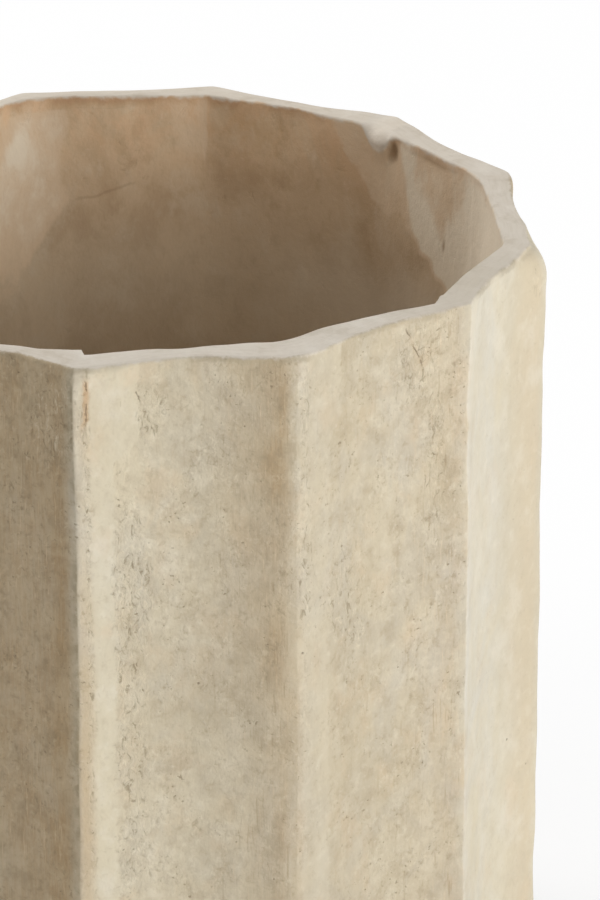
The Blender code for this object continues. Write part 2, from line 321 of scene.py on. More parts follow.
# The wiped band as a distance inside its edges, which the shader's noise crumbles.
edge_limit = 6.0 * MM
reach = wiped_to[flute] + wiped_top[flute] * ease(below_rim, swipe_start, swipe_end)
wiped = np.minimum(right_of_crest - wiped_from[flute], reach - right_of_crest)
wiped = np.clip(wiped, -edge_limit, edge_limit)

# The brown wash, partly painted shade, with a broken streak near the next crest, and painted shade in the
# corner there.
brown = ease(share - brown_from[flute], 0.0, brown_width[flute]) * ease(left_of_crest, 0.0, 5.0 * MM)
broken = clay_noise(flat_point(over_rim) * np.array([1.0, 1.0, 0.5]), 9.0 * MM, 21)
streak = streaked[flute] * bell(left_of_crest, (6.0 + 1.5 * broken) * MM, 3.4 * MM)
streak = streak * ease(broken, -0.5, 0.5)
corner_shaded = corner_shade[flute] * bell(left_of_crest, 0.0, 2.3 * MM) * (share > 0.0)
corner_shaded = corner_shaded * (1.0 - 0.8 * bell(below_rim, 48.0 * MM, 10.0 * MM))

# A painted highlight along each crest, which sits a little right of the crest and is weaker on its left.
highlight_shift, left_highlight = 1.2 * MM, 0.5
crest_line = np.minimum(np.abs(right_of_crest - highlight_shift), left_of_crest + highlight_shift)
crest_highlight = highlight_strength[nearest] * bell(crest_line, 0.0, highlight_width[nearest])
crest_highlight = crest_highlight * np.where(share > 0.5, left_highlight, 1.0)

# The first flute is duller in its middle and beside its cream band, paler under the rim and carries less
# brown wash and painted shade low down, and the third is duller on its far side.
in_first, in_third = flute == 0, flute == 2
low_dull = 0.10 + 0.27 * bell(below_rim, 117.0 * MM, 20.0 * MM)
low_dull = low_dull * ease(share, 0.20, 0.45) * ease(share, 0.74, 0.58)
beside_band = bell(right_of_crest, 18.0 * MM, 5.5 * MM) * ease(below_rim, 60.0 * MM, 85.0 * MM)
beside_band = beside_band * ease(below_rim, 165.0 * MM, 135.0 * MM)
far_side = ease(share, 0.45, 0.70) * ease(below_rim, 195.0 * MM, 130.0 * MM)
dull_patches = in_first * (low_dull + 0.20 * beside_band) + 0.34 * in_third * far_side
pale_patch = bell(right_of_crest, 14.0 * MM, 7.0 * MM) * bell(below_rim, 36.0 * MM, 16.0 * MM)
pale_patch = 0.28 * in_first * pale_patch
wash_and_shade_left = 1.0 - 0.48 * in_first * ease(below_rim, 85.0 * MM, 165.0 * MM)
off_edge = ease(off_crest, 0.0, 0.12)


def off_ridge(ridge, place):
    """Distance round the wall from a place right of a ridge's crest, both in metres."""
    turn = (angle - crest_angle[ridge] + math.pi) % math.tau - math.pi
    return turn * ridge_radius - place


def patches(rows):
    """Sum of soft patches, each its strength times a bell round the wall and a bell down it."""
    total = np.zeros_like(over_rim)
    for ridge, place, depth, wide, tall, strength in rows:
        across = bell(off_ridge(ridge, place * MM), 0.0, wide * MM)
        total += strength * across * bell(below_rim, depth * MM, tall * MM)
    return total


# Cracks that opened as the rim dried: ridge, place right of its crest, top, length, drift (mm), and rust.
cracks = [
    (0, 3.4, 1.0, 18.0, -0.6, 1.0), (0, 18.2, 7.0, 6.0, 1.8, 0.1), (1, 46.6, 2.0, 16.0, 8.0, 0.1),
    (1, 57.0, 33.0, 5.0, 0.8, 0.2), (1, 56.5, 51.0, 8.0, 1.2, 0.1), (6, 30.0, 2.0, 11.0, 3.0, 0.3),
    (8, 12.0, 1.0, 9.0, -2.0, 0.2),
]
crack_wiggle = 0.7
crack_off = np.full_like(over_rim, edge_limit)
crack_open = np.zeros_like(over_rim)
crack_rust = np.zeros_like(over_rim)
for ridge, place, top_mm, length, drift, rust in cracks:
    run = np.clip((below_rim / MM - top_mm) / length, 0.0, 1.0)
    wiggle = clay_noise(np.stack([0.0 * run, 0.0 * run + ridge, below_rim], axis=-1), 3.0 * MM, 20)
    off = off_ridge(ridge, (place + drift * run + crack_wiggle * wiggle) * MM)
    nearer = np.abs(off) < np.abs(crack_off)
    crack_off = np.where(nearer, off, crack_off)
    opening = ease(run, 0.0, 0.06) * ease(run, 1.0, 0.75) * (over_rim < 0.5 * MM)
    crack_open = np.where(nearer, opening, crack_open)
    crack_rust = np.where(nearer, opening * rust, crack_rust)

# Patches where the face of the clay crumbled, and tan smears rubbed over the crests and the band: ridge,
# place right of its crest, depth, half width and half height in millimetres, and strength.
crumbly = patches([
    (0, -9.0, 16.0, 10.0, 20.0, 1.0), (0, 3.3, 90.0, 1.3, 120.0, 1.0), (0, 16.5, 74.0, 6.0, 15.0, 1.0),
    (0, 15.0, 78.0, 4.0, 30.0, 1.0), (0, 17.0, 125.0, 6.5, 70.0, 1.0), (0, 24.0, 16.0, 6.0, 12.0, 1.0),
    (1, 3.0, 60.0, 3.0, 70.0, 1.0), (1, 52.0, 14.0, 9.0, 16.0, 1.0), (1, 60.0, 50.0, 5.0, 30.0, 1.0),
    (3, -5.0, 8.0, 4.0, 6.0, 1.0), (1, 22.0, 85.0, 12.0, 22.0, 1.0), (4, 30.0, 40.0, 15.0, 30.0, 1.0),
    (7, 20.0, 90.0, 12.0, 60.0, 1.0), (9, 40.0, 30.0, 14.0, 25.0, 1.0),
])
crumbly = np.clip(crumbly, 0.0, 1.0)
tanned = patches([
    (0, 6.0, 18.0, 6.0, 15.0, 0.18), (0, 1.8, 150.0, 2.4, 85.0, 0.58), (0, -6.0, 118.0, 4.0, 45.0, 0.30),
    (1, 0.0, 150.0, 2.6, 90.0, 0.25), (5, 2.0, 60.0, 4.0, 60.0, 0.40), (8, 0.0, 120.0, 3.0, 80.0, 0.45),
    (10, 3.0, 40.0, 5.0, 40.0, 0.30),
])
tanned = tanned * (over_rim < 0.0)

# Pale slip left on the inside, as soft heights that the shader's noise breaks up. On the right, where the
# pale is partly slip and partly painted light on the inner wall, a thin veil ends along one bending edge and
# a thick coat along another, each given in degrees at a few depths, with a bare wedge under the rim. At the
# back lie a patch with a thick dab and a strip beside a ridge.
depth_mm = inside_depth / MM
veil_depths, veil_ends = [0, 12, 24, 30, 40, 46, 60], [148.0, 144.0, 138.0, 130.0, 122.0, 117.5, 105.0]
coat_depths, coat_ends = [0, 12, 28, 34, 40, 46, 60], [130.8, 129.3, 127.1, 125.7, 120.7, 116.3, 104.3]
back_depths, back_ends = [0, 10, 25, 37, 48, 65], [-167.0, -166.6, -165.2, -166.6, -162.6, -158.0]
veil_edge = np.interp(depth_mm, veil_depths, veil_ends)
coat_edge = np.interp(depth_mm, coat_depths, coat_ends)
back_edge = np.interp(depth_mm, back_depths, back_ends)
bare_wedge = ease(9.0 * (1.0 - depth_mm / 30.0) - np.abs(degrees - 118.0), -4.0, 4.0)
coat = np.maximum(ease(degrees, 116.0, 108.0), 0.55 + 0.45 * ease(depth_mm, 8.0, 30.0))
coat = coat * (1.0 - 0.75 * bare_wedge)
slip_and_light_right = 0.46 * ease(veil_edge - degrees, -1.5, 1.5) + 0.50 * coat * ease(coat_edge - degrees, -1.2, 1.2)
slip_and_light_right = slip_and_light_right * ease(degrees, 43.0, 66.0)
slip_back = 0.62 * ease(degrees - back_edge, -2.0, 2.0) * ease(degrees, -125.0, -145.0)
slip_back = slip_back * ease(depth_mm, 0.0, 6.0)
slip_back = slip_back * (1.0 - 0.4 * ease(degrees, -160.0, -153.0) * ease(depth_mm, 20.0, 10.0))
slip_dab = 0.40 * bell(degrees, -157.5, 1.7) * bell(depth_mm, 16.0, 5.0)
slip_back = slip_back * ease(depth_mm, 100.0, 40.0) + slip_dab
full_turn = degrees % 360.0
slip_strip = 0.44 * ease(full_turn, 169.4, 170.6) * ease(full_turn, 180.0, 174.0) * ease(depth_mm, 34.0, 14.0)
low_slip = 0.60 * ease(depth_mm, 42.0, 64.0) * ease(degrees, 165.0, 134.0) * ease(degrees, 40.0, 66.0)
pale_slip_and_light = slip_and_light_right * ease(depth_mm, 120.0, 30.0) + slip_back + slip_strip
pale_slip_and_light = np.clip(pale_slip_and_light, 0.0, 1.0)

# Rusty clay under the rim at the back.
rusty = 0.40 * bell(degrees, 161.5, 6.5) * bell(depth_mm, 10.0, 9.0)

# A crease across the inside at the back, where the slab was bent.
crease_run = (-166.5 - degrees) / 11.8
on_inside = past_rim > 4.0 * MM
creased = ease(crease_run, 0.0, 0.15) * ease(crease_run, 1.0, 0.85) * on_inside
crease_bend = clay_noise(flat_point(level), 7.0 * MM, 22)
crease_off = inside_depth - (37.5 - 6.5 * crease_run + 2.2 * crease_bend) * MM
crack_off = np.where(on_inside, np.clip(crease_off, -edge_limit, edge_limit), crack_off)
crack_open = np.maximum(crack_open, creased)

# Where the slip on the cut stops short of the outer edge and where it is soiled, and how far the brown clay
# creeps over the rim. On the lump at the back the slip runs down inside instead, and is painted paler there
# as painted light on the lump's shaded face.
most_creep = 0.3 * MM
slip_start = 2.2 * MM * bell(degrees, -14.0, 8.0)
soiled = 0.5 * bell(degrees, 60.0, 16.0) + 0.0 * over_rim
creep = most_creep * (0.5 - 0.5 * np.cos(angle)) ** 2
creep = creep - 3.0 * MM * bell(degrees, 136.8, 2.8, 4)

# Painted shade in dark hollows, and a stain at the inner edge: degrees, depth, half width in degrees, half
# height, strength.
shade_and_stains = np.zeros_like(over_rim)
dark_spots = [
    (132.6, 4.2, 1.7, 3.8, 1.0), (117.3, 29.5, 0.7, 3.5, 0.9), (11.8, -0.5, 0.6, 0.9, 1.0),
    (121.0, 2.2, 8.0, 2.4, 0.62),
]
for at_degrees, depth, wide, tall, strength in dark_spots:
    dark_spot = strength * bell(degrees, at_degrees, wide) * bell(past_rim, depth * MM, tall * MM)
    shade_and_stains = np.maximum(shade_and_stains, dark_spot)

# What the clay's shader reads from the mesh, point by point.
wall_marks = {
    "over_rim": over_rim,
    "past_rim": past_rim,
    "wiped": wiped,
    "wiped_cream": wiped_cream[flute],
    "brown": brown,
    "brown_wash_and_shade": brown * brown_wash_and_shade[flute] * wash_and_shade_left + streak,
    "corner_shaded": corner_shaded,
    "crest_highlight": crest_highlight,
    "crack_off": crack_off,
    "crack_open": crack_open,
    "crack_rust": crack_rust,
    "crumbly": crumbly,
    "tanned": tanned,
    "pale_slip_and_light": pale_slip_and_light,
    "low_slip": low_slip,
    "rusty": rusty,
    "slip_start": slip_start,
    "soiled": soiled,
    "creep": creep,
    "shade_and_stains": shade_and_stains,
    "chalky": chalky[flute] * (1.0 - 0.5 * ease(share, 0.45, 0.75)),
    "gritty": gritty[flute],
    "paler": paler[flute] * off_edge + pale_patch,
    "duller": duller[flute] * off_edge * ease(share, 0.90, 0.25) + dull_patches,
}
wall = skin("fluted_wall_clay", np.concatenate([foot, outside, edge, top, lip, inside]), wall_marks)
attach(wall, "pot")
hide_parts("fluted_wall")


def paint(red, green, blue):
    """Linear colour, with full alpha, of 8-bit red, green and blue."""
    values = np.array([red, green, blue]) / 255.0
    return (*np.where(values <= 0.04045, values / 12.92, ((values + 0.055) / 1.055) ** 2.4), 1.0)


class Wire:
    """An output socket of a shader node tree, whose sums and products add Math nodes to the tree."""

    def __init__(self, tree, socket):
        self.tree, self.socket = tree, socket

    def node(self, kind, inputs, **settings):
        """A new node in the same tree."""
        return add(self.tree, kind, inputs, **settings)

    def calc(self, operation, other=0.0):
        """A Math node on this value and another."""
        return Wire(self.tree, self.node("Math", {0: self, 1: other}, operation=operation).outputs[0])

    def __add__(self, other):
        return self.calc("ADD", other)

    def __sub__(self, other):
        return self.calc("SUBTRACT", other)

    def __mul__(self, other):
        return self.calc("MULTIPLY", other)

    def flip(self):
        """One less this value."""
        return self * -1.0 + 1.0

    def fade(self, start, end):
        """A smooth step, 0 where the value is at the start and 1 where it is at the end."""
        inputs = {"Value": self, "From Min": start, "From Max": end}
        stepped = self.node("MapRange", inputs, interpolation_type="SMOOTHSTEP")
        return Wire(self.tree, stepped.outputs[0])

    def tint(self, colour, amount):
        """This colour with another laid over it by an amount between 0 and 1."""
        mixed = self.node("Mix", {0: amount, 6: self, 7: colour}, data_type="RGBA")
        return Wire(self.tree, mixed.outputs[2])

    def grain(self, size, detail=3.0, roughness=0.55, stretch=1.0, bend=0.0):
        """Noise about 0.5 at this place, with lumps of a size in metres drawn out along Z by the stretch."""
        scaled = self.node("Mapping", {0: self, "Scale": (1.0, 1.0, 1.0 / stretch)})
        inputs = {"Vector": Wire(self.tree, scaled.outputs[0]), "Scale": 1.0 / size, "Detail": detail}
        noise = self.node("TexNoise", inputs | {"Roughness": roughness, "Distortion": bend})
        return Wire(self.tree, noise.outputs[0])


def add(tree, kind, inputs, **settings):
    """A new shader node: each input is joined to a wire or set to a value."""
    made = tree.nodes.new("ShaderNode" + kind)
    for name, value in settings.items():
        setattr(made, name, value)
    for key, value in inputs.items():
        if isinstance(value, Wire):
            tree.links.new(value.socket, made.inputs[key])
        else:
            made.inputs[key].default_value = value
    return made


def solid_place(tree):
    """The point of the object that is shaded, in metres."""
    return Wire(tree, add(tree, "TexCoord", {}).outputs["Object"])


def marked(tree, name):
    """A float attribute of the mesh."""
    return Wire(tree, add(tree, "Attribute", {}, attribute_name=name).outputs["Fac"])


def plain(tree, colour):
    """One colour to start a stack of tints from."""
    return Wire(tree, add(tree, "Mix", {0: 0.0, 6: colour}, data_type="RGBA").outputs[2])


def new_group(name, inputs, outputs):
    """A node group with sockets of the given kinds: its tree, wires from its inputs, and its outputs."""
    tree = bpy.data.node_groups.new(name, "ShaderNodeTree")
    for label, kind in inputs.items():
        tree.interface.new_socket(label, in_out="INPUT", socket_type="NodeSocket" + kind)
    for label, kind in outputs.items():
        tree.interface.new_socket(label, in_out="OUTPUT", socket_type="NodeSocket" + kind)
    sockets = tree.nodes.new("NodeGroupInput").outputs
    given = {label: Wire(tree, sockets[label]) for label in inputs}
    return tree, given, tree.nodes.new("NodeGroupOutput").inputs


def join(wire, socket):
    """A link from a wire to an input socket."""
    wire.tree.links.new(wire.socket, socket)


# Clay wiped with a wet sponge, as inside the pot: blotches of brown and taupe, a soft bloom, fine dust and
# small dark smudges.
smudge_brown = paint(140, 113, 85)
wiped_clay, given, result = new_group(
    "wiped_clay", {"Base": "Color", "Damp": "Color", "Bloom": "Color"}, {"Color": "Color", "Height": "Float"}
)
place = solid_place(wiped_clay)
clouds = place.grain(34.0 * MM, 5.0, 0.62, bend=0.6)
smears = place.grain(11.0 * MM, 5.0, 0.64, stretch=1.5)
dust = place.grain(2.2 * MM, 5.0, 0.70)
smudge = place.grain(8.0 * MM, 4.0, 0.6, bend=0.6).fade(0.38, 0.24)
colour = given["Base"].tint(given["Damp"], clouds.fade(0.42, 0.62) * 0.7)
colour = colour.tint(given["Bloom"], smears.fade(0.50, 0.70) * 0.80)
colour = colour.tint(given["Damp"], smears.fade(0.48, 0.30) * 0.75)
colour = colour.tint(given["Bloom"], dust.fade(0.52, 0.74) * 0.28)
colour = colour.tint(given["Damp"], dust.fade(0.46, 0.26) * 0.36)
colour = colour.tint(smudge_brown, smudge * 0.25)
join(colour, result["Color"])
join((smears - 0.5) * (0.7 * MM) + (dust - 0.5) * (0.22 * MM) - smudge * (0.15 * MM), result["Height"])


def wiped_finish(tree, base, damp, bloom):
    """The wiped clay group in its three colours, placed in a tree: wires of its colour and its height."""
    group = add(tree, "Group", {"Base": base, "Damp": damp, "Bloom": bloom}, node_tree=wiped_clay)
    return Wire(tree, group.outputs["Color"]), Wire(tree, group.outputs["Height"])


def new_finish(name):
    """A new material, with its node tree and its shader."""
    finish = bpy.data.materials.new(name)
    finish.use_nodes = True
    return finish, finish.node_tree, finish.node_tree.nodes["Principled BSDF"]


def emboss(shader, height, strength):
    """Relief on a shader's surface from a height in metres."""
    relief = add(height.tree, "Bump", {"Height": height, "Distance": 1.0, "Strength": strength})
    join(Wire(height.tree, relief.outputs[0]), shader.inputs["Normal"])


clay_gloss = 0.25
clay, tree, shader = new_finish("sandy_clay")
place = solid_place(tree)
mark = {name: marked(tree, name) for name in wall_marks}
over_lip, past_lip = mark["over_rim"], mark["past_rim"]

# Sandy body: greige clouds, peach blushes and a grey haze, then light and dull mottling and fine crumbs
# that gather in patches.
sand, greige, olive_tan = paint(209, 197, 172), paint(197, 187, 167), paint(190, 175, 146)
peach, hazy_grey, wash_and_shade_brown = paint(213, 191, 160), paint(206, 200, 186), paint(172, 146, 111)
light_clay, light_washed_shaded, dark_clay = paint(227, 218, 197), paint(194, 175, 144), paint(174, 157, 130)
dark_washed_shaded, crumb_brown, pale_clay = paint(148, 129, 100), paint(152, 135, 107), paint(232, 221, 194)
dull_clay, stroke_light, stroke_dark = paint(176, 162, 136), paint(224, 206, 176), paint(160, 136, 102)
corner_shade_grey = paint(144, 131, 104)
clouds = place.grain(17.0 * MM, 4.0, 0.6, stretch=1.4, bend=0.5)
haze = place.grain(30.0 * MM, 5.0, 0.65, stretch=2.0, bend=0.8)
blush = place.grain(14.0 * MM, 4.0, 0.6, stretch=1.5).fade(0.50, 0.68)
lumps = place.grain(7.5 * MM, 3.0, 0.5, stretch=1.1)
mottle = place.grain(4.2 * MM, 4.0, 0.62, bend=0.2)
crumb = place.grain(1.9 * MM, 3.0, 0.6, stretch=1.2, bend=0.3)
patchy = place.grain(11.0 * MM, 3.0, 0.6, stretch=1.3, bend=0.6).fade(0.42, 0.60)
fleck = place.grain(1.2 * MM, 3.0, 0.6)
brushed = place.grain(1.1 * MM, 4.0, 0.6, stretch=13.0)
daub = place.grain(12.0 * MM, 4.0, 0.60, stretch=1.4)
brown = mark["brown"]
olive = place.grain(45.0 * MM, 4.0, 0.55, stretch=1.5).fade(0.46, 0.66)
colour = plain(tree, sand).tint(greige, clouds.fade(0.42, 0.62) * 0.8)
colour = colour.tint(olive_tan, olive * 0.40)
colour = colour.tint(peach, blush * 0.45)
colour = colour.tint(hazy_grey, haze.fade(0.52, 0.68) * 0.45)
# Brown wash on the lee side of each flute, partly painted shade on the side turned from the light, uneven
# and drawn out in brush streaks, under the mottling.
washed_and_shaded = mark["brown_wash_and_shade"]
wash_and_shade_amount = brushed.fade(0.35, 0.65) * 0.24 + haze.fade(0.35, 0.60) * 0.18 + daub.fade(0.35, 0.65) * 0.14 + 0.36
colour = colour.tint(wash_and_shade_brown, wash_and_shade_amount * washed_and_shaded)
light = plain(tree, light_clay).tint(light_washed_shaded, washed_and_shaded * 0.9)
dark = plain(tree, dark_clay).tint(dark_washed_shaded, washed_and_shaded * 0.7)
gritty = mark["gritty"]
colour = colour.tint(light, lumps.fade(0.50, 0.72) * gritty * 0.44)
colour = colour.tint(dark, lumps.fade(0.48, 0.28) * gritty * 0.46)
colour = colour.tint(light, mottle.fade(0.52, 0.74) * gritty * 0.54)
colour = colour.tint(dark, mottle.fade(0.48, 0.26) * gritty * 0.62)
crumbs = (patchy * 0.42 + washed_and_shaded * 0.22 + 0.12) * gritty
colour = colour.tint(light, crumb.fade(0.54, 0.72) * crumbs)
colour = colour.tint(crumb_brown, crumb.fade(0.46, 0.28) * crumbs)
colour = colour.tint(pale_clay, mark["paler"])
colour = colour.tint(dull_clay, mark["duller"])
strokes = brown * 0.34 + 0.15
colour = colour.tint(stroke_light, brushed.fade(0.56, 0.76) * strokes)
colour = colour.tint(stroke_dark, brushed.fade(0.44, 0.26) * strokes)
# Painted shade in the corner beside each crest.
colour = colour.tint(corner_shade_grey, mark["corner_shaded"] * mottle.fade(0.30, 0.62))

# Cream band, smooth inside and crumbling away along its edge.
plain_cream, peach_cream, chalk = paint(218, 207, 181), paint(221, 200, 170), paint(209, 205, 194)
dull_cream, tan_cream, bright_daub = paint(190, 180, 160), paint(213, 194, 163), paint(228, 221, 205)
dull_daub, light_cream, dark_cream = paint(204, 192, 168), paint(231, 224, 207), paint(196, 183, 157)
cream_crumb, highlight_white, smear_tan = paint(190, 175, 148), paint(227, 222, 210), paint(190, 165, 128)
crumble = (mottle - 0.5) * (3.6 * MM) + (crumb - 0.5) * (2.2 * MM)
band = (mark["wiped"] + crumble).fade(-0.8 * MM, 0.9 * MM) * mark["wiped_cream"]
chalky = mark["chalky"]
cream = plain(tree, plain_cream).tint(peach_cream, blush * (chalky * 0.8).flip() * 0.6)
cream = cream.tint(chalk, haze.fade(0.28, 0.70) * chalky)
cream = cream.tint(dull_cream, mark["duller"])
# The cream is tan on the lee side too, which is partly painted shade.
cream = cream.tint(tan_cream, brown * (chalky * 0.8).flip() * 0.65)
cream = cream.tint(bright_daub, daub.fade(0.48, 0.70) * 0.42)
cream = cream.tint(dull_daub, daub.fade(0.50, 0.30) * 0.32)
cream = cream.tint(light_cream, mottle.fade(0.52, 0.72) * gritty * 0.30)
cream = cream.tint(dark_cream, mottle.fade(0.48, 0.28) * gritty * 0.28)
cream = cream.tint(cream_crumb, crumb.fade(0.44, 0.28) * gritty * 0.22)
colour = colour.tint(cream, band * 0.92)
# Painted highlight along the crests.
colour = colour.tint(highlight_white, mark["crest_highlight"] * daub.fade(0.30, 0.50) * 0.7)
colour = colour.tint(smear_tan, mark["tanned"] * (mottle * 0.8 + 0.6))

# Torn clay in the crumbled patches, pits, and the drying cracks with their rusty edges; the pits and cracks
# are darkened with painted shade.
torn_dark, torn_light, speck_brown = paint(130, 114, 86), paint(230, 217, 190), paint(140, 124, 98)
rust_tan, scar_shade_brown = paint(203, 166, 126), paint(120, 104, 82)
rough = (band * 0.8).flip()
torn = (mark["crumbly"] + (clouds - 0.5) * 1.6 + (mottle - 0.5) * 0.8).fade(0.30, 0.85)
gouge = place.grain(2.1 * MM, 4.0, 0.65, stretch=1.8, bend=0.8)
colour = colour.tint(torn_dark, gouge.fade(0.47, 0.30) * torn * gritty * 0.66)
colour = colour.tint(torn_light, gouge.fade(0.54, 0.72) * torn * gritty * 0.50)
specks = place.grain(1.7 * MM, 2.0, 0.5, stretch=0.8).fade(0.34, 0.25) * patchy * rough
colour = colour.tint(speck_brown, specks * 0.60)
cells = add(tree, "TexVoronoi", {"Vector": place, "Scale": 1.0 / (8.0 * MM)})
chance, off_cell = Wire(tree, cells.outputs["Color"]), Wire(tree, cells.outputs["Distance"])
pits = off_cell.fade(0.075, 0.030) * chance.fade(0.78, 0.84)
off_split = (mark["crack_off"] + (fleck - 0.5) * (1.4 * MM)).calc("ABSOLUTE")
split = off_split.fade(0.40 * MM, 0.08 * MM) * mark["crack_open"] * mottle.fade(0.40, 0.52)
rust = off_split.fade(1.4 * MM, 0.2 * MM) * mark["crack_rust"]
colour = colour.tint(rust_tan, rust * 0.60)
scars = pits.calc("MAXIMUM", split)
# Painted shade in the pits and cracks.
colour = colour.tint(scar_shade_brown, scars * 0.55)

# Cut rim: pale slip streaked along the cut, with a grey line of painted shade under its outer edge.
pale_rim, cut_streak, bright_rim = paint(217, 208, 195), paint(204, 194, 178), paint(226, 218, 206)
dull_rim, tan_rim, lump_light_slip = paint(196, 185, 168), paint(208, 190, 168), paint(232, 221, 205)
soiled_rim, edge_shade_grey = paint(190, 179, 160), paint(164, 151, 126)
flat = place.node("VectorMath", {0: place, 1: (0.10, 0.10, 0.0)}, operation="MULTIPLY")
rise = place.node("CombineXYZ", {"Z": over_lip})
swept = {0: Wire(tree, flat.outputs[0]), 1: Wire(tree, rise.outputs[0])}
cut = Wire(tree, place.node("VectorMath", swept, operation="ADD").outputs[0]).grain(1.1 * MM, 4.0, 0.6)
lip_edge = over_lip - mark["slip_start"] + (mottle - 0.5) * (3.2 * MM) + (fleck - 0.5) * (1.6 * MM)
lip_shade_line = lip_edge.fade(-1.6 * MM, -0.2 * MM) * lip_edge.fade(1.6 * MM, 0.4 * MM)
slip = plain(tree, pale_rim).tint(cut_streak, cut.fade(0.42, 0.68) * 0.45)
slip = slip.tint(bright_rim, daub.fade(0.50, 0.66) * 0.6)
slip = slip.tint(dull_rim, daub.fade(0.46, 0.32) * 0.6)
slip = slip.tint(tan_rim, mark["creep"] * (0.50 / MM))
# Painted light on the lump's face at the back.
slip = slip.tint(lump_light_slip, mark["creep"] * (-0.20 / MM))
slip = slip.tint(soiled_rim, mark["soiled"])
colour = colour.tint(slip, lip_edge.fade(0.0, 1.5 * MM) * 0.92)
# Painted shade along the outer edge of the rim.
colour = colour.tint(edge_shade_grey, lip_shade_line * haze.fade(0.40, 0.60) * 0.50)

# Inside: wiped brown clay under the rim's inner edge, warmer at the top and greyer below, with patches of
# pale slip, which on the right are partly painted light.
inner_base, inner_damp, inner_bloom = paint(215, 191, 159), paint(186, 160, 128), paint(220, 202, 175)
warm_brown, mid_brown, deep_grey = paint(217, 180, 142), paint(170, 138, 104), paint(174, 160, 138)
low_cream, veil_and_light_tan, coat_and_light_cream = paint(222, 208, 186), paint(214, 191, 162), paint(225, 212, 190)
rust_brown, edge_rust, crease_shade_brown = paint(178, 134, 82), paint(180, 138, 100), paint(120, 96, 70)
shade_and_stain_brown = paint(134, 102, 68)
inner, inner_height = wiped_finish(tree, inner_base, inner_damp, inner_bloom)
inner = inner.tint(warm_brown, past_lip.fade(36.0 * MM, 4.0 * MM) * haze.fade(0.62, 0.42) * 0.65)
mid_depth = past_lip.fade(12.0 * MM, 32.0 * MM) * past_lip.fade(66.0 * MM, 40.0 * MM)
inner = inner.tint(mid_brown, mid_depth * 0.30)
inner = inner.tint(deep_grey, past_lip.fade(14.0 * MM, 75.0 * MM) * 0.60)
inner = inner.tint(low_cream, mark["low_slip"])
blot = place.grain(8.0 * MM, 4.0, 0.60, stretch=2.6, bend=0.6)
# Pale slip, partly painted light on the right inner wall.
slip_and_light_inside = mark["pale_slip_and_light"] + (blot - 0.5) * 0.6 + (mottle - 0.5) * 0.25
inner = inner.tint(veil_and_light_tan, slip_and_light_inside.fade(0.26, 0.50) * 0.76)
inner = inner.tint(coat_and_light_cream, slip_and_light_inside.fade(0.50, 0.80) * 0.90)
inner = inner.tint(rust_brown, mark["rusty"] * (blot * 0.8 + 0.6))
bore_edge = past_lip + mark["creep"] + (clouds - 0.5) * (3.0 * MM) + (mottle - 0.5) * (4.0 * MM)
bore = bore_edge.fade(-0.9 * MM, 0.9 * MM)
stained = (mark["creep"] * (1.0 / most_creep)).calc("MAXIMUM", 0.0) * haze.fade(0.40, 0.55)
inner = inner.tint(edge_rust, bore_edge.fade(4.5 * MM, 0.3 * MM) * stained * 0.6)
colour = colour.tint(inner, bore)
# Painted shade along the crease inside.
crease_shade = off_split.fade(0.9 * MM, 0.1 * MM) * mark["crack_open"] * bore
colour = colour.tint(crease_shade_brown, crease_shade * 0.22)
# Painted shade in the hollows, and the stain, broken up by noise.
shade_and_stain_mark = mark["shade_and_stains"] * ((blot - 0.5) * 0.9 + (mottle - 0.5) * 0.6 + 1.0)
colour = colour.tint(shade_and_stain_brown, shade_and_stain_mark.fade(0.18, 0.85) * 0.68)
join(colour, shader.inputs["Base Color"])

# Relief in metres: crinkles and brush marks on the rough clay, calmer in the bands, rim and inside.
crinkle = (mottle - 0.5) * (0.50 * MM) + (crumb - 0.5) * (patchy * (0.35 * MM) + 0.10 * MM)
crinkle = crinkle + (brushed - 0.5) * brown * (0.18 * MM) + (gouge - 0.5) * torn * (0.80 * MM)
crinkle = crinkle - specks * (0.20 * MM)
on_rim = over_lip.fade(-0.5 * MM, 1.0 * MM)
cut_marks = (cut - 0.5) * (0.10 * MM) + (daub - 0.5) * (0.50 * MM)
crinkle = crinkle * rough * (on_rim * 0.8).flip() + cut_marks * on_rim
outer_height = (crinkle + (lumps - 0.5) * (0.90 * MM) - scars * (0.35 * MM)) * bore.flip()
emboss(shader, outer_height + inner_height * bore, 0.8)
join(mottle * 0.3 + 0.75, shader.inputs["Roughness"])
shader.inputs["Specular IOR Level"].default_value = clay_gloss
wall.data.materials.append(clay)

# The floor is a slab of the same clay, cut to the inside of the wall, luted in at the foot and sponged
# smooth, with a drain hole through its middle.
slab_low, slab_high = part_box("floor_slab")
drain_radius, drain_ease = 11.5 * MM, 1.2 * MM
slab_gap, slab_sink, trowel_depth = 0.3 * MM, 0.3 * MM, 0.35 * MM
slab_reach = 110.0 * MM
slab_rows, slab_crowding, ease_rows = 42, 1.2, 5
slab_outline = inner_radius(np.full((1, len(angle)), slab_high.z))[0] - slab_gap


def slab_ring(share_out, height):
    """Rings between the round drain hole and the slab's outline: the hole's circle at share 0 and the
    outline at share 1, both about the pot's axis."""
    rim_point = on_wall(slab_outline, height + level)[..., :2]
    hole_point = np.stack([np.sin(angle), -np.cos(angle)], axis=-1) * drain_radius
    ring_point = hole_point + share_out[..., None] * (rim_point - hole_point)
    return np.concatenate([ring_point, (height + level)[..., None]], axis=-1)


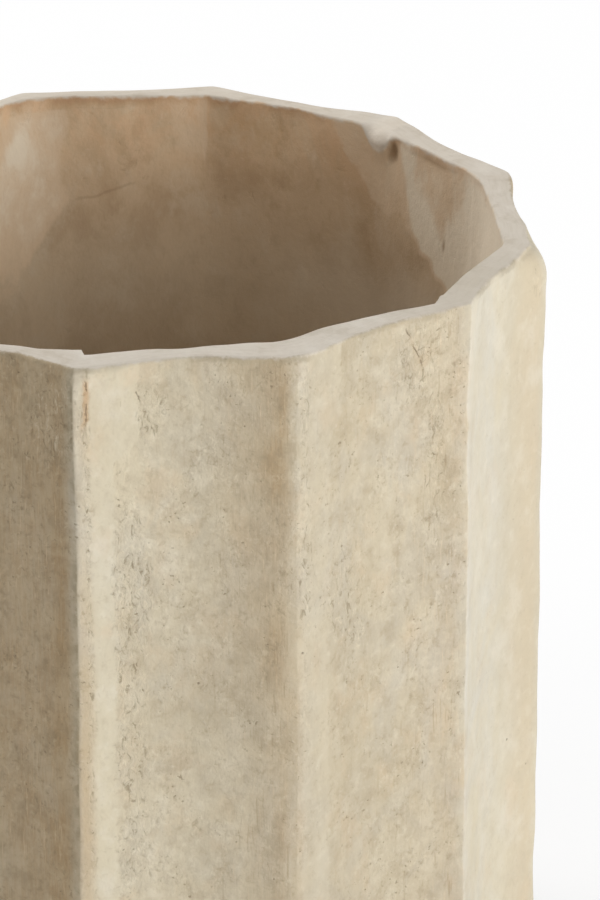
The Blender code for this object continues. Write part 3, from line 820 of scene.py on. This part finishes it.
spread = np.linspace(0.0, 1.0, slab_rows)[:, None] ** slab_crowding
ease_turn = np.linspace(0.0, math.pi / 2.0, ease_rows)[:, None]
hole_ease = (drain_ease / slab_reach) * (1.0 - np.sin(ease_turn))
ease_down = drain_ease * (1.0 - np.sin(ease_turn[::-1]))
top_out = hole_ease.max() + spread * (1.0 - hole_ease.max())
slab_face = slab_ring(top_out + 0.0 * level, slab_high.z + 0.0 * top_out)
trowelled = trowel_depth * clay_noise(slab_face, 24.0 * MM, 30)
slab_top = slab_ring(top_out + 0.0 * level, slab_high.z - slab_sink + trowelled)
slab_under = slab_ring(top_out[::-1] + 0.0 * level, slab_low.z + 0.0 * top_out)
hole_up = slab_ring(hole_ease[::-1] + 0.0 * level, slab_low.z + ease_down)
hole_down = slab_ring(hole_ease + 0.0 * level, slab_high.z - slab_sink - ease_down[::-1])
slab_loop = np.concatenate([slab_under, hole_up[::-1], hole_down[::-1], slab_top])
slab = skin("floor_slab_clay", slab_loop[::-1], {})
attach(slab, "pot")
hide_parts("floor_slab")


def sponged_clay(name, base, damp, bloom, lime):
    """A clay finish made of the wiped clay group and a chalky deposit left by water."""
    finish, tree, shader = new_finish(name)
    colour, height = wiped_finish(tree, base, damp, bloom)
    deposit = solid_place(tree).grain(30.0 * MM, 5.0, 0.65, bend=1.0).fade(0.54, 0.66) * 0.45
    join(colour.tint(lime, deposit), shader.inputs["Base Color"])
    emboss(shader, height, 0.9)
    shader.inputs["Roughness"].default_value = 0.92
    shader.inputs["Specular IOR Level"].default_value = clay_gloss
    return finish


floor_tones = paint(186, 160, 126), paint(168, 140, 106), paint(200, 178, 146)
floor_lime = paint(206, 194, 174)
slab.data.materials.append(sponged_clay("floor_clay", *floor_tones, floor_lime))

# A coil of clay is pressed by the thumb into the corner of wall and floor, to seal the joint, and wiped to
# a hollow fillet with a shallow dent at each press.
coil_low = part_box("seam_coil")[0]
coil_leg, coil_edge = 9.0 * MM, 0.8 * MM
coil_rows = 14
thumb_presses, thumb_dent = 46, 0.5 * MM
coil_turn = np.linspace(-math.pi / 2.0, -math.pi, coil_rows)[:, None]
dent = thumb_dent * (0.5 + 0.5 * np.cos(thumb_presses * angle)) * np.sin(2.0 * coil_turn) ** 2
dent = dent * (1.0 + 0.5 * clay_noise(flat_point(level), 20.0 * MM, 31))
hollow_radius = coil_leg - coil_edge + dent
coil_out = coil_leg + hollow_radius * np.cos(coil_turn)
coil_height = coil_low.z + coil_leg + hollow_radius * np.sin(coil_turn)
coil_back = slab_outline + slab_gap
coil_face = on_wall(coil_back - coil_out, coil_height)
coil_top = on_wall(coil_back + 0.0 * level, coil_low.z + coil_leg + level)[None]
coil_heel = on_wall(coil_back + 0.0 * level, coil_low.z + level)[None]
coil_toe = on_wall(coil_back - coil_leg, coil_low.z + level)[None]
coil = skin("seam_coil_clay", np.concatenate([coil_heel, coil_top, coil_face[::-1], coil_toe]), {})
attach(coil, "pot")
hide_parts("seam_coil")
coil_tones = paint(190, 164, 130), paint(172, 144, 110), paint(204, 182, 150)
coil_lime = paint(208, 196, 176)
coil.data.materials.append(sponged_clay("coil_clay", *coil_tones, coil_lime))

# The drain plug is a moulded rubber stopper: a tapered stem in the hole, a flange that lies on the floor and
# a knob to pull it out by. It lifts straight out.
plug_low, plug_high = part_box("drain_plug")


def turned(name, radius, height, middle=(0.0, 0.0), around_steps=96):
    """A closed mesh turned about an upright axis from a half section of radius and height, whose first and
    last points lie on the axis."""
    turn = np.arange(around_steps) * math.tau / around_steps
    x = middle[0] + radius[1:-1, None] * np.cos(turn)
    y = middle[1] + radius[1:-1, None] * np.sin(turn)
    rings = np.stack([x, y, height[1:-1, None] + 0.0 * turn], axis=-1)
    poles = np.array([[*middle, height[0]], [*middle, height[-1]]])
    count = len(radius) - 2
    index = np.arange(count * around_steps).reshape(count, around_steps)
    beside = np.roll(index, -1, axis=1)
    quads = np.stack([index[:-1], beside[:-1], beside[1:], index[1:]], axis=-1).reshape(-1, 4).tolist()
    foot_pole, top_pole = index.size, index.size + 1
    fans = [(foot_pole, b, a) for a, b in zip(index[0], beside[0])]
    fans += [(top_pole, a, b) for a, b in zip(index[-1], beside[-1])]
    mesh = bpy.data.meshes.new(name)
    mesh.from_pydata(np.vstack([rings.reshape(-1, 3), poles]), [], quads + fans)
    mesh.shade_smooth()
    return new_object(name, mesh)


def rounded(corners, steps=6):
    """A half section through corners given as (radius, height, round): each corner is cut back by its round
    and joined by a quadratic curve with the corner as its middle control point."""
    points = np.array([corner[:2] for corner in corners])
    path = [points[:1]]
    t = np.linspace(0.0, 1.0, steps)[:, None]
    for k in range(1, len(points) - 1):
        before, after = points[k - 1] - points[k], points[k + 1] - points[k]
        start = points[k] + before / np.linalg.norm(before) * corners[k][2]
        end = points[k] + after / np.linalg.norm(after) * corners[k][2]
        path.append((1.0 - t) ** 2 * start + 2.0 * t * (1.0 - t) * points[k] + t**2 * end)
    path.append(points[-1:])
    return np.concatenate(path).T


seat_gap = 0.3 * MM
seat = slab_high.z + seat_gap
stem, flange, neck, knob = 11.1 * MM, 19.2 * MM, 5.0 * MM, 9.0 * MM
stem_taper, flange_thick, neck_length = 1.2 * MM, 3.0 * MM, 6.0 * MM
neck_top = seat + flange_thick + neck_length
plug_section = rounded([
    (0.0, plug_low.z, 0.0),
    (stem - stem_taper, plug_low.z, 1.4 * MM),
    (stem, seat, 0.3 * MM),
    (flange - 0.6 * MM, seat + 0.05 * MM, 0.3 * MM),
    (flange, seat + 1.2 * MM, 0.7 * MM),
    (flange, seat + flange_thick, 1.2 * MM),
    (neck + 1.2 * MM, seat + flange_thick + 0.2 * MM, 2.0 * MM),
    (neck, neck_top, 2.6 * MM),
    (knob, neck_top + 1.2 * MM, 1.6 * MM),
    (knob, plug_high.z, 2.2 * MM),
    (2.0 * MM, plug_high.z - 0.5 * MM, 1.2 * MM),
    (0.0, plug_high.z - 0.7 * MM, 0.0),
])
plug = turned("drain_plug_rubber", *plug_section)
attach(plug, "plug")
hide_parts("drain_plug")

# Moulded rubber: a fine matt grain and pale dust in patches.
rubber_grain, given, result = new_group(
    "rubber_grain",
    {"Rubber": "Color", "Dust": "Color"},
    {"Color": "Color", "Roughness": "Float", "Height": "Float"},
)
place = solid_place(rubber_grain)
tooth = place.grain(0.5 * MM, 3.0, 0.6)
bloom = place.grain(9.0 * MM, 5.0, 0.65, bend=0.6).fade(0.50, 0.70)
join(given["Rubber"].tint(given["Dust"], bloom * 0.30 + tooth.fade(0.55, 0.75) * 0.12), result["Color"])
join(bloom * 0.18 + tooth * 0.2 + 0.45, result["Roughness"])
join((tooth - 0.5) * (0.06 * MM), result["Height"])


def rubber(name, base, dust):
    """A rubber finish made of the rubber grain group."""
    finish, tree, shader = new_finish(name)
    group = add(tree, "Group", {"Rubber": base, "Dust": dust}, node_tree=rubber_grain)
    join(Wire(tree, group.outputs["Color"]), shader.inputs["Base Color"])
    join(Wire(tree, group.outputs["Roughness"]), shader.inputs["Roughness"])
    emboss(shader, Wire(tree, group.outputs["Height"]), 0.8)
    return finish


plug_black, plug_dust = paint(52, 50, 48), paint(120, 110, 96)
plug.data.materials.append(rubber("plug_rubber", plug_black, plug_dust))

# Four round pads of moulded rubber are glued under the floor. They keep the fired clay off the table, and
# each is dished a little underneath so that it grips.
pad_black, pad_dust = paint(68, 63, 58), paint(128, 118, 104)
pad_dish, pad_bevel = 0.25 * MM, 4.0 * MM
pad_finish = rubber("pad_rubber", pad_black, pad_dust)
for pad_name in ("foot_pad_1", "foot_pad_2", "foot_pad_3", "foot_pad_4"):
    pad_low, pad_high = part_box(pad_name)
    pad_middle = ((pad_low.x + pad_high.x) / 2.0, (pad_low.y + pad_high.y) / 2.0)
    pad_radius = (pad_high.x - pad_low.x) / 2.0
    pad_section = rounded([
        (0.0, pad_low.z + pad_dish, 0.0),
        (pad_radius - pad_bevel, pad_low.z, 2.0 * MM),
        (pad_radius, pad_low.z, 0.9 * MM),
        (pad_radius, pad_high.z, 0.7 * MM),
        (0.0, pad_high.z, 0.0),
    ])
    pad = turned(f"{pad_name}_rubber", *pad_section, pad_middle, 64)
    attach(pad, "pot")
    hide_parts(pad_name)
    pad.data.materials.append(pad_finish)

# The table and the light: a white table, a broad soft lamp on the right, a weaker one in front, one at the
# back and a pale room round them.
table_half = 12.0
table_mesh = bpy.data.meshes.new("table")
table_corners = table_half * np.array([(-1, -1, 0), (1, -1, 0), (1, 1, 0), (-1, 1, 0)])
table_mesh.from_pydata(table_corners, [], [(0, 1, 2, 3)])
table = new_object("table", table_mesh)

# The table glows for the camera, and more so behind the pot and away from it, where it fades into the room.
table_grey, near_glow, far_glow = (0.85, 0.85, 0.85, 1.0), 0.74, 0.24
white, tree, shader = new_finish("white_table")
shader.inputs["Base Color"].default_value = table_grey
shader.inputs["Roughness"].default_value = 0.9
glow = tree.nodes.new("ShaderNodeEmission")
blend = tree.nodes.new("ShaderNodeMixShader")
spot = solid_place(tree)
behind = Wire(tree, spot.node("SeparateXYZ", {0: spot}).outputs["Y"]).fade(0.05, 0.40)
away = Wire(tree, spot.node("VectorMath", {0: spot}, operation="LENGTH").outputs["Value"]).fade(0.5, 1.1)
far = behind.calc("MAXIMUM", away)
ray = add(tree, "LightPath", {}).outputs
seen = Wire(tree, ray["Is Camera Ray"]) + Wire(tree, ray["Is Glossy Ray"])
seen = seen + Wire(tree, ray["Is Transmission Ray"])
join(seen.calc("MINIMUM", 1.0) * (far * far_glow + near_glow), blend.inputs["Fac"])
tree.links.new(shader.outputs[0], blend.inputs[1])
tree.links.new(glow.outputs[0], blend.inputs[2])
tree.links.new(blend.outputs[0], tree.nodes["Material Output"].inputs["Surface"])
table_mesh.materials.append(white)

room_white, room_strength = (1.0, 1.0, 1.0, 1.0), 0.20
room = bpy.data.worlds.new("pale_room")
bpy.context.scene.world = room
room.use_nodes = True
walls = room.node_tree.nodes["Background"]
walls.inputs["Color"].default_value = room_white
walls.inputs["Strength"].default_value = room_strength


def soft_lamp(name, place, aim, size, power):
    """A square area lamp at a place, turned to shine at its aim."""
    lamp = bpy.data.lights.new(name, "AREA")
    lamp.shape = "SQUARE"
    lamp.size = size
    lamp.energy = power
    fixture = new_object(name, lamp)
    fixture.location = place
    direction = np.array(aim) - np.array(place)
    yaw = math.atan2(direction[0], direction[1])
    tilt = math.atan2(direction[2], math.hypot(direction[0], direction[1]))
    fixture.rotation_euler = (math.pi / 2.0 + tilt, 0.0, -yaw)
    return fixture


pot_middle = (0.0, 0.0, 0.5 * rim_z)
soft_lamp("right_window", (1.58, -0.68, 0.68), pot_middle, size=1.6, power=22.5)
soft_lamp("front_fill", (0.3, -1.8, 0.9), pot_middle, size=1.3, power=10.5)
soft_lamp("back_window", (-1.0, 1.1, 1.3), pot_middle, size=1.3, power=31.0)

# The camera stands in front, looks down on the rim and aims a little to the right of the pot's axis.
camera_distance = 1.820
camera_rise = math.radians(20.98)
camera_pitch = math.radians(23.377)
camera_yaw = math.radians(1.676)
camera = new_object("camera", bpy.data.cameras.new("camera"))
camera.data.lens = 220.9
camera.data.sensor_width = 36.0
camera.data.clip_end = 40.0
camera.location = (
    -wall_centre[0],
    -wall_centre[1] - camera_distance * math.cos(camera_rise),
    rim_z + camera_distance * math.sin(camera_rise),
)
camera.rotation_euler = (math.pi / 2.0 - camera_pitch, 0.0, -camera_yaw)
bpy.context.scene.camera = camera
bpy.context.scene.view_settings.view_transform = "Standard"
